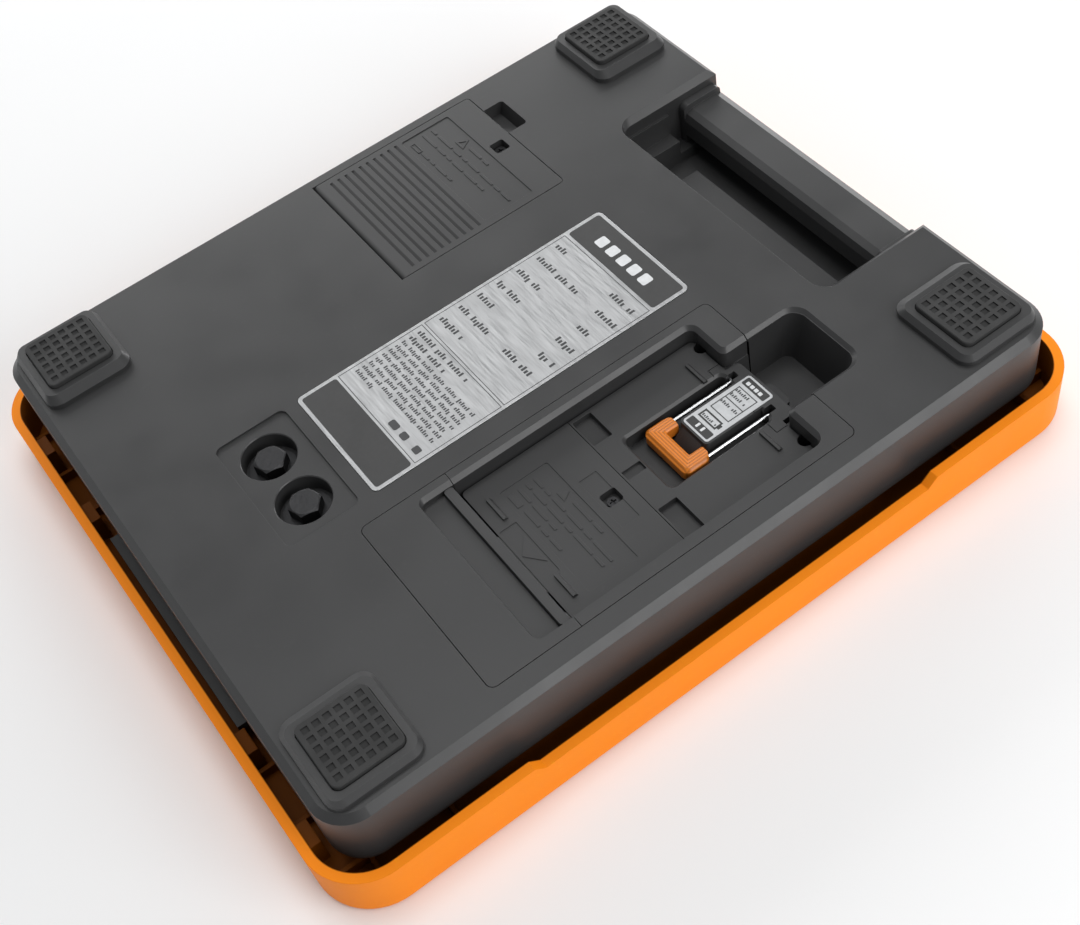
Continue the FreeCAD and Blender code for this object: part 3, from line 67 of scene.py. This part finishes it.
# ---------------------------------------------------------------- materials
class Tree:
    """Builds one node material. Every pattern is laid out in the object's own coordinates."""

    def __init__(self, name):
        self.mat = bpy.data.materials.new(name)
        self.mat.use_nodes = True
        self.nt = self.mat.node_tree
        self.nt.nodes.clear()
        self.out = self.nt.nodes.new("ShaderNodeOutputMaterial")
        self.bsdf = self.nt.nodes.new("ShaderNodeBsdfPrincipled")
        self.nt.links.new(self.bsdf.outputs[0], self.out.inputs[0])
        self.coord = self.nt.nodes.new("ShaderNodeTexCoord").outputs["Object"]

    def node(self, kind, **values):
        n = self.nt.nodes.new(kind)
        for k, v in values.items():
            setattr(n, k, v)
        return n

    def link(self, a, b):
        self.nt.links.new(a, b)

    def stretched(self, scale):
        m = self.node("ShaderNodeMapping")
        m.inputs["Scale"].default_value = scale
        self.link(self.coord, m.inputs["Vector"])
        return m.outputs[0]

    def noise(self, scale, detail=4.0, rough=0.55, vector=None):
        n = self.node("ShaderNodeTexNoise")
        n.inputs["Scale"].default_value = scale
        n.inputs["Detail"].default_value = detail
        n.inputs["Roughness"].default_value = rough
        self.link(vector if vector is not None else self.coord, n.inputs["Vector"])
        return n.outputs["Fac"]

    def ranged(self, value, a, b, c, d):
        n = self.node("ShaderNodeMapRange")
        n.inputs["From Min"].default_value = a
        n.inputs["From Max"].default_value = b
        n.inputs["To Min"].default_value = c
        n.inputs["To Max"].default_value = d
        self.link(value, n.inputs["Value"])
        return n.outputs[0]

    def math(self, op, a, b):
        n = self.node("ShaderNodeMath", operation=op)
        for i, v in enumerate((a, b)):
            if isinstance(v, (int, float)):
                n.inputs[i].default_value = v
            else:
                self.link(v, n.inputs[i])
        return n.outputs[0]

    def vector(self, op, a, b=None):
        n = self.node("ShaderNodeVectorMath", operation=op)
        self.link(a, n.inputs[0])
        if b is not None:
            n.inputs[1].default_value = b
        return n.outputs["Value" if op == "LENGTH" else "Vector"]

    def mix(self, fac, a, b):
        n = self.node("ShaderNodeMix", data_type="RGBA")
        for key, v in (("Factor", fac), ("A", a), ("B", b)):
            sock = [s for s in n.inputs if s.name == key and s.enabled][0]
            if isinstance(v, (int, float)):
                sock.default_value = v
            elif isinstance(v, tuple):
                sock.default_value = (*v, 1.0)
            else:
                self.link(v, sock)
        return [s for s in n.outputs if s.enabled][0]

    def bump(self, height, strength, distance, normal=None):
        n = self.node("ShaderNodeBump")
        n.inputs["Strength"].default_value = strength
        n.inputs["Distance"].default_value = distance
        self.link(height, n.inputs["Height"])
        if normal is not None:
            self.link(normal, n.inputs["Normal"])
        return n.outputs[0]

    def bevel(self, radius):
        n = self.node("ShaderNodeBevel", samples=4)
        n.inputs["Radius"].default_value = radius
        return n.outputs[0]

    def edges(self, radius, low=0.02, high=0.25):
        """1 on sharp outer and inner edges, 0 on flat faces."""
        geo = self.node("ShaderNodeNewGeometry")
        dot = self.node("ShaderNodeVectorMath", operation="DOT_PRODUCT")
        self.link(self.bevel(radius), dot.inputs[0])
        self.link(geo.outputs["Normal"], dot.inputs[1])
        inv = self.math("SUBTRACT", 1.0, dot.outputs["Value"])
        return self.ranged(inv, low, high, 0.0, 1.0)

    def set(self, **values):
        for k, v in values.items():
            sock = self.bsdf.inputs[k.replace("_", " ")]
            if isinstance(v, (int, float)):
                sock.default_value = v
            elif isinstance(v, tuple):
                sock.default_value = (*v, 1.0) if len(v) == 3 else v
            else:
                self.link(v, sock)
        return self.mat


def shade(c, k):
    return tuple(min(1.0, x * k) for x in c)


def extent(mesh, axis):
    values = [v.co[axis] for v in mesh.vertices]
    return min(values), max(values)


def plastic(
    name, base, rough, grain=1600.0, depth=0.00004, mottle=0.12, wear=0.0, bevel=0.0003, spec=0.5,
    tint=None,
):
    """Moulded plastic: fine spark-eroded grain, faint cloudiness, lighter rubbed edges.

    A tint takes the tree and the colour so far, and gives back the colour to use.
    """
    t = Tree(name)
    clouds = t.ranged(t.noise(14.0, 3.0), 0.3, 0.7, 0.0, 1.0)
    specks = t.ranged(t.noise(420.0, 2.0), 0.62, 0.8, 0.0, 0.25)
    colour = t.mix(clouds, shade(base, 1 - mottle), shade(base, 1 + mottle))
    colour = t.mix(specks, colour, shade(base, 1.5))
    if wear > 0:
        patches = t.ranged(t.noise(60.0), 0.35, 0.65, 0.2, wear)
        rub = t.math("MULTIPLY", t.edges(bevel * 1.6), patches)
        colour = t.mix(rub, colour, tuple(min(1.0, x * 1.8 + 0.02) for x in base))
    if tint is not None:
        colour = tint(t, colour)
    smudge = t.noise(30.0, 5.0, 0.6)
    normal = t.bump(t.noise(grain, 2.0, 0.6), 0.35, depth, t.bevel(bevel))
    return t.set(
        Base_Color=colour,
        Roughness=t.ranged(smudge, 0.3, 0.7, rough - 0.05, rough + 0.06),
        Normal=normal,
        Specular_IOR_Level=spec,
    )


def rubber(name, base, rough=0.75):
    """Dusty rubber with a matt grain."""
    t = Tree(name)
    dust = t.ranged(t.noise(70.0, 4.0), 0.45, 0.75, 0.0, 0.35)
    colour = t.mix(dust, shade(base, 0.85), tuple(x * 1.4 + 0.012 for x in base))
    normal = t.bump(t.noise(900.0, 3.0), 0.4, 0.00005, t.bevel(0.00008))
    return t.set(
        Base_Color=colour,
        Roughness=t.ranged(t.noise(120.0), 0.3, 0.7, rough - 0.08, rough + 0.08),
        Normal=normal,
        Specular_IOR_Level=0.4,
    )


def metal(name, base, rough, brush=(40.0, 40.0, 40.0), scratch=0.25, bevel=0.0002):
    """Brushed or plated metal with faint stains. A low brush scale stretches the marks that way."""
    t = Tree(name)
    streak = t.noise(30.0, 5.0, 0.6, t.stretched(brush))
    colour = t.mix(streak, shade(base, 0.82), shade(base, 1.1))
    stain = t.ranged(t.noise(35.0, 4.0), 0.55, 0.8, 0.0, 0.3)
    colour = t.mix(stain, colour, shade(base, 0.6))
    normal = t.bump(streak, scratch, 0.00003, t.bevel(bevel))
    return t.set(
        Base_Color=colour,
        Metallic=1.0,
        Roughness=t.ranged(streak, 0.3, 0.7, rough - 0.07, rough + 0.09),
        Normal=normal,
    )


def ribbed(name, base, rough, mesh):
    """Plastic with fine flutes that follow the U-shaped outline of the mesh, with painted shade in their
    grooves and a painted highlight on their crests.
    """
    x_low = extent(mesh, 0)[0]
    y_low, y_high = extent(mesh, 1)
    middle, half = (y_low + y_high) / 2, (y_high - y_low) / 2
    t = Tree(name)
    split = t.node("ShaderNodeSeparateXYZ")
    t.link(t.coord, split.inputs[0])
    from_end = t.math("SUBTRACT", split.outputs[0], x_low)
    off_middle = t.math("ABSOLUTE", t.math("SUBTRACT", split.outputs[1], middle), 0.0)
    inset = t.math("MINIMUM", from_end, t.math("SUBTRACT", half, off_middle))
    wave = t.math("SINE", t.math("MULTIPLY", inset, 2 * math.pi / FLUTE_PITCH), 0.0)
    flutes = t.ranged(wave, -1.0, 1.0, 0.0, 1.0)
    # painted shade in the grooves and painted highlight on the crests, following the flutes' bump
    colour = t.mix(flutes, shade(base, 0.7), shade(base, 1.2))
    colour = t.mix(t.ranged(t.noise(60.0), 0.45, 0.75, 0.0, 0.3), colour, shade(base, 0.75))
    normal = t.bump(flutes, 0.6, 0.00012, t.bump(t.noise(1500.0), 0.3, 0.00003, t.bevel(0.0004)))
    return t.set(
        Base_Color=colour,
        Roughness=t.ranged(t.noise(80.0), 0.3, 0.7, rough - 0.05, rough + 0.07),
        Normal=normal,
    )


def painted_shade_behind_skirt(t, colour):
    """Painted shade: darkens the platform's colour by the distance in from its rounded outline, behind
    the skirt.
    """
    mesh = nodes["platform_tray"].data
    (x_low, x_high), (y_low, y_high) = extent(mesh, 0), extent(mesh, 1)
    centre = ((x_low + x_high) / 2, (y_low + y_high) / 2, 0.0)
    straight = ((x_high - x_low) / 2 - TRAY_CORNER, (y_high - y_low) / 2 - TRAY_CORNER, 0.0)
    flat = t.vector("MULTIPLY", t.vector("SUBTRACT", t.coord, centre), (1.0, 1.0, 0.0))
    past = t.vector("SUBTRACT", t.vector("ABSOLUTE", flat), straight)
    reach = t.vector("LENGTH", t.vector("MAXIMUM", past, (0.0, 0.0, 0.0)))
    inset = t.math("SUBTRACT", TRAY_CORNER, reach)
    # 1 from the skirt's inner face inwards, where the painted shade goes
    painted_shade_mask = t.ranged(inset, SKIRT_THICK - SKIRT_BLEND, SKIRT_THICK, 0.0, 1.0)
    return t.mix(painted_shade_mask, colour, shade(ORANGE, PAINTED_SKIRT_SHADE))


def ink(name, base, rough=0.45):
    """Printed ink: slightly uneven cover and sheen."""
    t = Tree(name)
    cover = t.noise(500.0, 3.0)
    colour = t.mix(t.ranged(cover, 0.35, 0.7, 0.0, 1.0), shade(base, 0.94), shade(base, 1.06))
    return t.set(
        Base_Color=colour,
        Roughness=t.ranged(t.noise(90.0), 0.3, 0.7, rough - 0.06, rough + 0.08),
        Normal=t.bump(cover, 0.2, 0.00001),
    )


def board():
    """Solder mask over a faint copper track pattern."""
    t = Tree("solder_mask")
    tracks = t.node("ShaderNodeTexBrick")
    tracks.inputs["Scale"].default_value = 260.0
    tracks.inputs["Mortar Size"].default_value = 0.06
    t.link(t.coord, tracks.inputs["Vector"])
    line = tracks.outputs["Fac"]
    colour = t.mix(line, (0.008, 0.09, 0.035), (0.02, 0.17, 0.06))
    colour = t.mix(t.ranged(t.noise(50.0), 0.4, 0.7, 0.0, 0.4), colour, (0.006, 0.07, 0.03))
    return t.set(
        Base_Color=colour,
        Roughness=t.ranged(t.noise(150.0), 0.3, 0.7, 0.25, 0.42),
        Normal=t.bump(line, 0.3, 0.00003),
    )


def sleeve(name, axis, along):
    """Battery sleeve: a dark body and a copper-coloured band towards one end, with no lettering."""
    t = Tree(name)
    split = t.node("ShaderNodeSeparateXYZ")
    t.link(t.coord, split.inputs[0])
    band = t.ranged(split.outputs[axis], along - BAND_BLUR, along + BAND_BLUR, 0.0, 1.0)
    wavy = t.noise(200.0, 3.0)
    dark = t.mix(wavy, (0.012, 0.012, 0.014), (0.022, 0.022, 0.025))
    gold = t.mix(wavy, (0.42, 0.2, 0.07), (0.5, 0.25, 0.09))
    return t.set(
        Base_Color=t.mix(band, dark, gold),
        Roughness=t.ranged(t.noise(80.0), 0.3, 0.7, 0.22, 0.36),
        Normal=t.bump(wavy, 0.15, 0.00003),
    )


MATERIALS = {
    "shell": plastic("shell_plastic", DARK, 0.38, wear=0.3, mottle=0.07, bevel=0.00012),
    # the handle's grip is the shell's plastic painted 1.25 times lighter: painted light for the brighter
    # light that falls on it
    "handle": plastic("handle_plastic_painted_light", shade(DARK, 1.25), 0.36, wear=0.3, mottle=0.07, bevel=0.0002),
    "inner": plastic("inner_plastic", (0.024, 0.024, 0.025), 0.55),
    "back": plastic("display_back_plastic", shade(DARK, 0.85), 0.42, wear=0.3, mottle=0.08, bevel=0.0001),
    "door": plastic("door_plastic", shade(DARK, 0.95), 0.42, wear=0.3, mottle=0.07, bevel=0.0001),
    "orange": plastic(
        "orange_plastic", ORANGE, 0.5, grain=1300.0, mottle=0.03, bevel=0.0005, spec=0.1,
        # the orange gets painted shade on the faces behind its skirt
        tint=painted_shade_behind_skirt,
    ),
    "grip": ribbed("grip_plastic", (0.66, 0.19, 0.014), 0.36, nodes["bail_grip"].data),
    "pad": rubber("pad_rubber", (0.034, 0.034, 0.034)),
    "black": rubber("black_rubber", (0.012, 0.012, 0.012)),
    "key": rubber("key_rubber", (0.12, 0.12, 0.125), 0.6),
    "bolt": metal("bolt_coated", (0.06, 0.06, 0.062), 0.38),
    "zinc": metal("zinc_plate", (0.62, 0.62, 0.6), 0.35, brush=(9.0, 9.0, 9.0)),
    "wire": metal("bright_wire", (0.7, 0.71, 0.72), 0.2, brush=(2.0, 12.0, 12.0), scratch=0.05),
    "contact": metal("nickel_contact", (0.76, 0.74, 0.7), 0.24, brush=(20.0, 20.0, 20.0)),
    "alloy": metal("milled_alloy", (0.72, 0.73, 0.75), 0.32, brush=(4.0, 90.0, 90.0)),
    "silver": metal("label_foil", (0.56, 0.565, 0.57), 0.36, brush=(70.0, 3.0, 70.0), scratch=0.12),
    "bright": ink("bright_foil", (0.55, 0.56, 0.57), 0.4),
    "ink_dark": ink("ink_dark", (0.034, 0.034, 0.034)),
    "ink_grey": ink("ink_grey", (0.045, 0.046, 0.048)),
    "ink_light": ink("ink_light", (0.7, 0.71, 0.72)),
    "board": board(),
    "aa": sleeve("aa_sleeve", 1, AA_BAND_Y),
    "aaa": sleeve("aaa_sleeve", 0, AAA_BAND_X),
    "cable": plastic("cable_jacket", (0.1, 0.1, 0.105), 0.5),
    "lens": plastic("lens_window", (0.1, 0.11, 0.115), 0.12, grain=200.0, depth=0.000002, spec=0.6),
    "display": plastic("display_glass", (0.32, 0.37, 0.3), 0.25, grain=900.0, depth=0.000005),
}

# the CAD nodes that wear each material
LOOK = {
    "shell": ("base_housing", "dock_insert", "dock_end_cover", "dock_latch_bar"),
    "handle": ("handle_grip",),
    "inner": ("base_cover", "battery_tray", "latch_spring_seat"),
    "back": ("ctrl_front", "ctrl_back"),
    "door": ("battery_door", "ctrl_battery_door"),
    "orange": ("platform_tray",),
    "grip": ("bail_grip",),
    "pad": ("foot_pads",),
    "black": ("overload_stops",),
    "key": ("key_power", "key_zero", "key_unit", "key_hold"),
    "bolt": ("cell_bolts", "cell_washers", "door_screw", "ctrl_door_screw"),
    "zinc": (
        "grip_pins", "cell_plate", "cover_screws", "tray_screws", "board_screws", "platform_spider",
        "spider_screws", "platform_bolts",
    ),
    "wire": ("bail_wire",),
    "contact": (
        "tray_springs", "tray_tabs", "latch_springs", "radio_module", "ctrl_switches", "ctrl_springs",
        "ctrl_tabs",
    ),
    "alloy": ("load_cell",),
    "silver": ("rating_label",),
    "bright": ("ctrl_label",),
    "board": ("main_board", "ctrl_board"),
    "aa": ("aa_cells",),
    "aaa": ("aaa_cells",),
    "cable": ("load_cell_cable",),
    "lens": ("ctrl_lens",),
    "display": ("ctrl_display",),
}
for look, names in LOOK.items():
    for name in names:
        slots = nodes[name].data.materials
        slots.clear()
        slots.append(MATERIALS[look])


# ---------------------------------------------------------------- printed plates
class Print:
    """Collects thin raised outlines on a label and makes one mesh of them.

    Sizes are in mm, from the label's corner at low X and low Y. over is the height of the ink below.
    """

    def __init__(self, label, over=0.0):
        self.corner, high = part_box(label)
        self.bm = bmesh.new()
        self.z0 = high.z + (over - INK_SUNK) * MM
        self.z1 = high.z + (over + INK_PROUD) * MM

    def outline(self, points):
        flat = [(self.corner.x + x * MM, self.corner.y + y * MM) for x, y in points]
        lower = [self.bm.verts.new((x, y, self.z0)) for x, y in flat]
        upper = [self.bm.verts.new((x, y, self.z1)) for x, y in flat]
        self.bm.faces.new(upper)
        self.bm.faces.new(list(reversed(lower)))
        n = len(points)
        for i in range(n):
            j = (i + 1) % n
            self.bm.faces.new((lower[i], lower[j], upper[j], upper[i]))

    def box(self, x0, x1, y0, y1, r=0.0):
        square = [(x0, y0), (x1, y0), (x1, y1), (x0, y1)]
        self.outline(round_box(x0, x1, y0, y1, r) if r > 0 else square)

    def frame(self, x0, x1, y0, y1, w):
        self.box(x0, x1, y1 - w, y1)
        self.box(x0, x1, y0, y0 + w)
        self.box(x0, x0 + w, y0 + w, y1 - w)
        self.box(x1 - w, x1, y0 + w, y1 - w)

    def line_of_marks(self, x, tall, y_from, y_to, wide, key):
        """A row of short strokes that stands for a printed line without being lettering.

        It runs along -Y, with gaps between groups. The key varies the groups and the heights.
        """
        y, i = y_from, key
        word = 3 + key % 5
        while y - wide > y_to:
            if word == 0:
                y -= wide * 1.2
                word = 3 + (i * 5) % 6
                continue
            high = tall if (i * 7) % 5 < 2 else tall * 0.7
            low = -0.28 * tall if (i * 3) % 11 == 0 else 0.0
            self.box(x + low, x + high, y - wide * 0.62, y)
            y -= wide
            i += 1
            word -= 1

    def make(self, name, body, mat):
        mesh = bpy.data.meshes.new(name)
        bmesh.ops.recalc_face_normals(self.bm, faces=self.bm.faces)
        self.bm.to_mesh(mesh)
        self.bm.free()
        mesh.materials.append(MATERIALS[mat])
        o = placed(name, mesh)
        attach(o, body)


def round_box(x0, x1, y0, y1, r, steps=6):
    pts = []
    corners = ((x1 - r, y1 - r, 0), (x0 + r, y1 - r, 90), (x0 + r, y0 + r, 180), (x1 - r, y0 + r, 270))
    for cx, cy, a0 in corners:
        for k in range(steps + 1):
            a = math.radians(a0 + 90 * k / steps)
            pts.append((cx + r * math.cos(a), cy + r * math.sin(a)))
    return pts


def rating_print():
    """Print of the large plate: two end blocks, two framed fields of lines, five light blocks."""
    dark = Print("rating_label")
    dark.box(122.7, 137.5, 1.5, 53.9, 1.2)
    dark.box(1.5, 16.5, 1.5, 53.9, 1.2)
    dark.make("rating_blocks", "base", "ink_dark")

    rule = Print("rating_label")
    rule.frame(17.5, 54.8, 1.3, 54.1, 0.28)
    rule.frame(55.8, 121.3, 1.3, 54.1, 0.28)
    # upper field: seven rows, each with a name on the left and all but the last with a value
    rows = (114.8, 105.8, 96.4, 87.2, 78.2, 69.6, 61.0)
    name_ends = (42.2, 25.2, 34.2, 36.2, 40.7, 29.7, 36.2)
    value_starts = (17.7, 14.7, 13.2, 13.9, 12.2, 22.7)
    for k, (x, name_end) in enumerate(zip(rows, name_ends)):
        rule.line_of_marks(x, 2.5, 51.7, name_end, 1.55, k * 3 + 1)
    for k, (x, value_start) in enumerate(zip(rows, value_starts)):
        rule.line_of_marks(x, 2.5, value_start, 3.1, 1.65, k * 2 + 2)
    # lower field: two larger lines, seven small ones, a short one and three signs
    rule.line_of_marks(51.1, 2.2, 51.7, 18.7, 1.5, 4)
    rule.line_of_marks(47.3, 2.2, 51.7, 27.2, 1.5, 9)
    for k in range(7):
        rule.line_of_marks(44.1 - 2.9 * k, 1.7, 51.9, 3.5, 1.1, 5 + 4 * k)
    rule.line_of_marks(23.7, 1.7, 51.9, 40.2, 1.1, 3)
    for y0, y1, r in ((18.3, 23.1, 0.9), (12.1, 15.9, 0.9), (4.1, 7.5, 0.6)):
        rule.box(19.7, 22.7, y0, y1, r)
    rule.make("rating_lines", "base", "ink_grey")

    light = Print("rating_label", INK_PROUD)
    for k in range(5):
        light.box(127.1, 132.1, 38.9 - 6.6 * k, 43.5 - 6.6 * k, 0.9)
    light.make("rating_emblem", "base", "ink_light")


def small_print():
    """Print of the display's plate: end blocks, a cell outline, a framed field and its lines."""
    dark = Print("ctrl_label")
    dark.box(0.8, 4.2, 0.9, 12.5, 0.5)
    dark.box(26.0, 29.7, 0.9, 12.5, 0.6)
    dark.frame(5.6, 9.6, 2.5, 11.7, 0.7)
    dark.box(6.6, 8.6, 1.6, 2.6)
    dark.frame(11.2, 24.6, 1.8, 11.7, 0.4)
    dark.box(17.8, 18.2, 2.1, 11.4)
    dark.make("display_plate_blocks", "controller", "ink_dark")

    lines = Print("ctrl_label")
    for k, x in enumerate((15.3, 19.6, 22.2)):
        lines.line_of_marks(x, 1.4, 11.2, 2.3 + k, 0.95, 2 + k)
    lines.line_of_marks(6.7, 1.1, 10.7, 3.1, 0.9, 3)
    lines.make("display_plate_lines", "controller", "ink_grey")

    light = Print("ctrl_label", INK_PROUD)
    for k in range(4):
        light.box(26.8, 28.3, 9.5 - 2.1 * k, 11.1 - 2.1 * k, 0.3)
    for k in range(2):
        light.box(1.7, 3.8, 7.5 - 2.6 * k, 8.5 - 2.6 * k, 0.3)
    light.make("display_plate_marks", "controller", "ink_light")


rating_print()
small_print()


# ---------------------------------------------------------------- studio
# soft boxes aimed at the part: name, place in m, size in m, power in W
SOFTBOXES = (
    ("near_light", (0.42, -1.05, 0.72), (0.95, 0.7), 9.0),
    ("far_light", (0.2, 1.35, 0.62), (1.6, 0.5), 9.0),
    ("side_light", (1.25, 0.85, 0.32), (0.9, 0.45), 7.0),
)
AIM = (0, 0, 0.03)              # the middle of the part
# the overhead light's power, its angular size and its lean in radians
SKY_POWER, SKY_SPREAD, SKY_LEAN = 1.1, 0.7, 0.12
# background strength on the horizon and overhead, and how high the fall between them ends
HORIZON, OVERHEAD, FALL_END = 0.69, 0.3, 0.35
# half the floor's side, and its gap under the part, in m
FLOOR_REACH, FLOOR_GAP = 6.0, 0.0002

# the camera's place in m, its turn in degrees and its lens
CAMERA_AT = (-0.160, -0.3528, 0.472)
CAMERA_TURN = (36.843, 8.1615, -35.631)
LENS_MM, SENSOR_MM = 52.29, 36.0


def studio():
    scene.view_settings.view_transform = "Standard"
    world = bpy.data.worlds.new("studio")
    scene.world = world
    world.use_nodes = True
    tree = world.node_tree
    back = tree.nodes["Background"]
    back.inputs["Color"].default_value = (0.96, 0.98, 1.0, 1.0)
    # brighter on the horizon than overhead
    split = tree.nodes.new("ShaderNodeSeparateXYZ")
    tree.links.new(tree.nodes.new("ShaderNodeTexCoord").outputs["Generated"], split.inputs[0])
    fall = tree.nodes.new("ShaderNodeMapRange")
    fall.interpolation_type = "SMOOTHSTEP"
    for key, v in (("From Min", 0.0), ("From Max", FALL_END), ("To Min", HORIZON), ("To Max", OVERHEAD)):
        fall.inputs[key].default_value = v
    tree.links.new(split.outputs["Z"], fall.inputs["Value"])
    tree.links.new(fall.outputs[0], back.inputs["Strength"])

    for name, spot, size, power in SOFTBOXES:
        data = bpy.data.lights.new(name, "AREA")
        data.shape = "RECTANGLE"
        data.size, data.size_y = size
        data.energy = power
        box = placed(name, data)
        box.location = spot
        box.rotation_mode = "QUATERNION"
        box.rotation_quaternion = (Vector(AIM) - Vector(spot)).to_track_quat("-Z", "Y")
    # wide, even light from overhead that keeps the far floor pale too
    sky = bpy.data.lights.new("overhead", "SUN")
    sky.energy, sky.angle = SKY_POWER, SKY_SPREAD
    placed("overhead", sky).rotation_euler = (-SKY_LEAN, SKY_LEAN, 0.0)

    mesh = bpy.data.meshes.new("floor")
    bm = bmesh.new()
    bmesh.ops.create_grid(bm, x_segments=4, y_segments=4, size=FLOOR_REACH)
    bm.to_mesh(mesh)
    bm.free()
    floor = placed("floor", mesh)
    floor.location.z = -FLOOR_GAP
    t = Tree("floor_paper")
    t.set(
        Base_Color=t.mix(t.noise(3.0), (0.86, 0.86, 0.86), (0.9, 0.9, 0.9)),
        Roughness=0.8,
        Normal=t.bump(t.noise(300.0), 0.1, 0.0001),
    )
    mesh.materials.append(t.mat)


def camera():
    data = bpy.data.cameras.new("camera")
    data.sensor_width = SENSOR_MM
    data.lens = LENS_MM
    data.sensor_fit = "HORIZONTAL"
    data.clip_start, data.clip_end = 0.01, 20.0
    cam = placed("camera", data)
    cam.location = CAMERA_AT
    cam.rotation_euler = [math.radians(a) for a in CAMERA_TURN]
    scene.camera = cam


studio()
camera()
